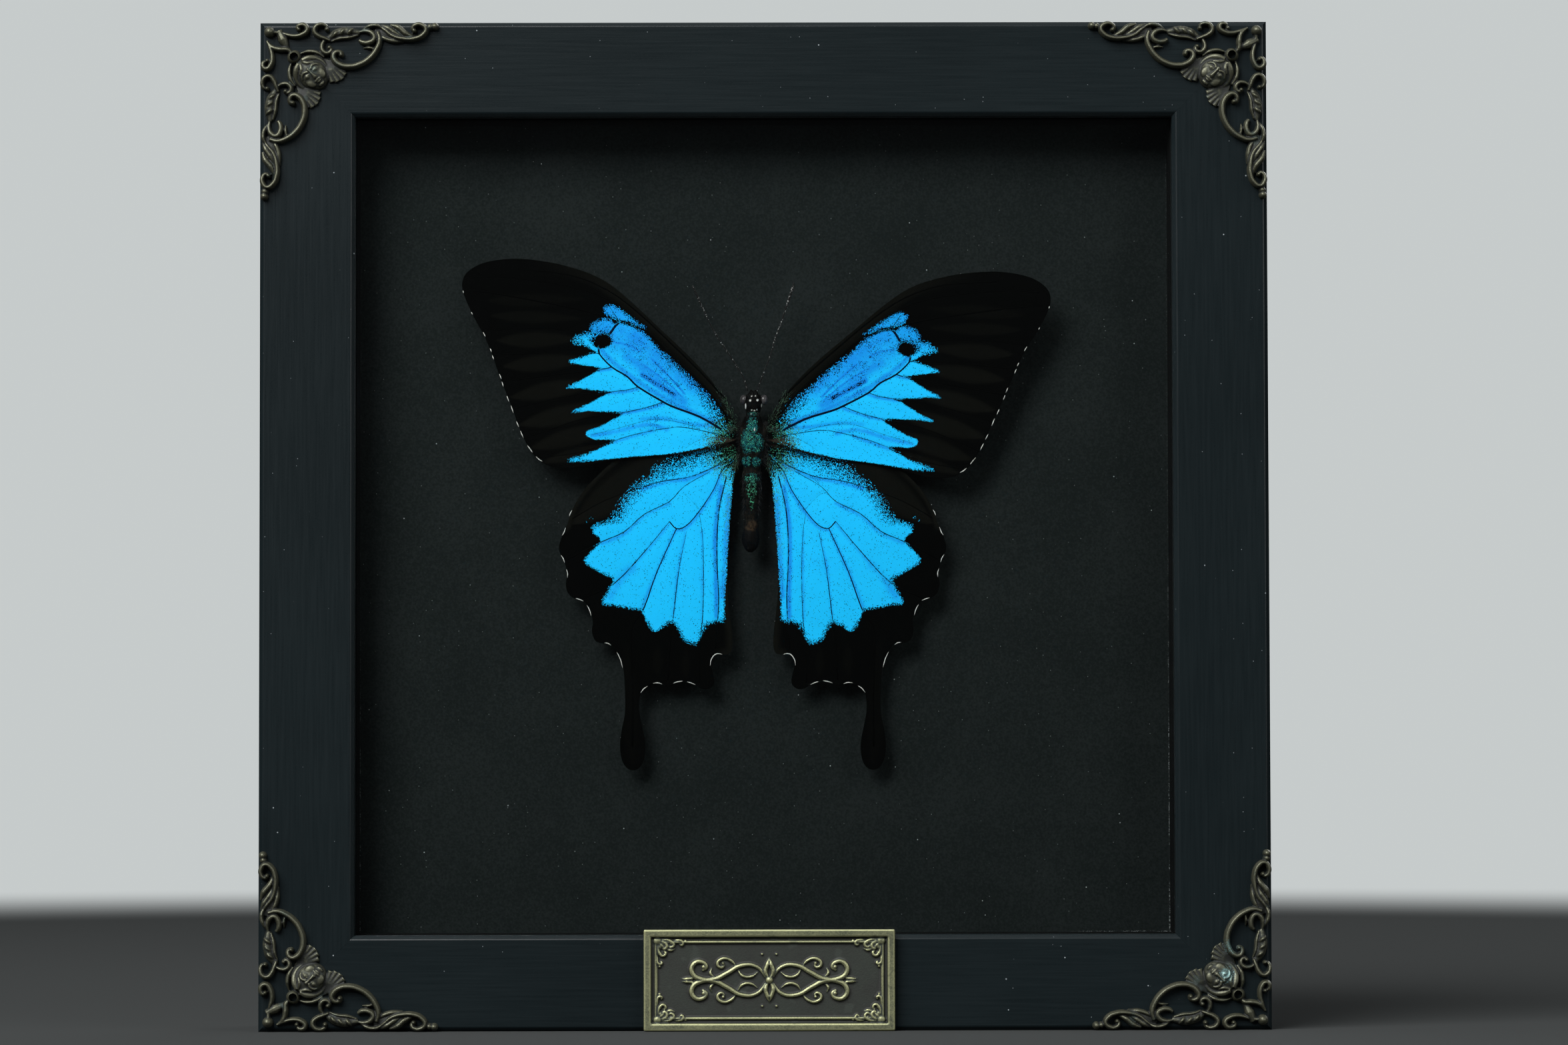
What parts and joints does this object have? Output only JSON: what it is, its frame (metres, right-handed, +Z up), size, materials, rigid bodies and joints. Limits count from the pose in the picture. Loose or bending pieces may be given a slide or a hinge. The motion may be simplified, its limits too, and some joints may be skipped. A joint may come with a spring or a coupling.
{
  "type": "framed butterfly specimen",
  "caption": "Square shadow-box frame with filigree corners and a small plaque, holding a spread blue swallowtail butterfly on a black board behind glass.",
  "frame": {"origin": "middle of the whole box in X and Y, on the surface that the frame stands on", "axes": "+X right, +Y back, +Z up, seen from the front"},
  "size_m": [0.2, 0.0346, 0.2],
  "materials": {
    "moulding": "satin black paint over wood",
    "glass": "clear picture glass",
    "liner": "matt black paint",
    "board": "matt black paper",
    "panel": "bare hardboard",
    "steel": "zinc plated",
    "bronze": "antique bronze, dark in the recesses",
    "plaque": "antique brass, darkened field",
    "wing": "satin scales, blue with velvet black borders",
    "insect_body": "matt, hairy, with teal scales",
    "pad": "black foam"
  },
  "bodies": {
    "root": {"rail_top": "moulding", "rail_bottom": "moulding", "stile_left": "moulding", "stile_right": "moulding", "glass_pane": "glass", "liner_top": "liner", "liner_bottom": "liner", "liner_left": "liner", "liner_right": "liner", "mount_board": "board", "back_panel": "panel", "point_top_a": "steel", "point_top_b": "steel", "point_right_a": "steel", "point_right_b": "steel", "point_bottom_a": "steel", "point_bottom_b": "steel", "point_left_a": "steel", "point_left_b": "steel", "sawtooth_hanger": "steel", "hanger_nail_left": "steel", "hanger_nail_right": "steel", "ornament_top_left": "bronze", "ornament_top_right": "bronze", "ornament_bottom_left": "bronze", "ornament_bottom_right": "bronze", "plaque": "plaque", "body": "insect_body", "forewing_left": "wing", "forewing_right": "wing", "hindwing_left": "wing", "hindwing_right": "wing", "antenna_left": "insect_body", "antenna_right": "insect_body", "mount_pad": "pad"}
  },
  "joints": []
}
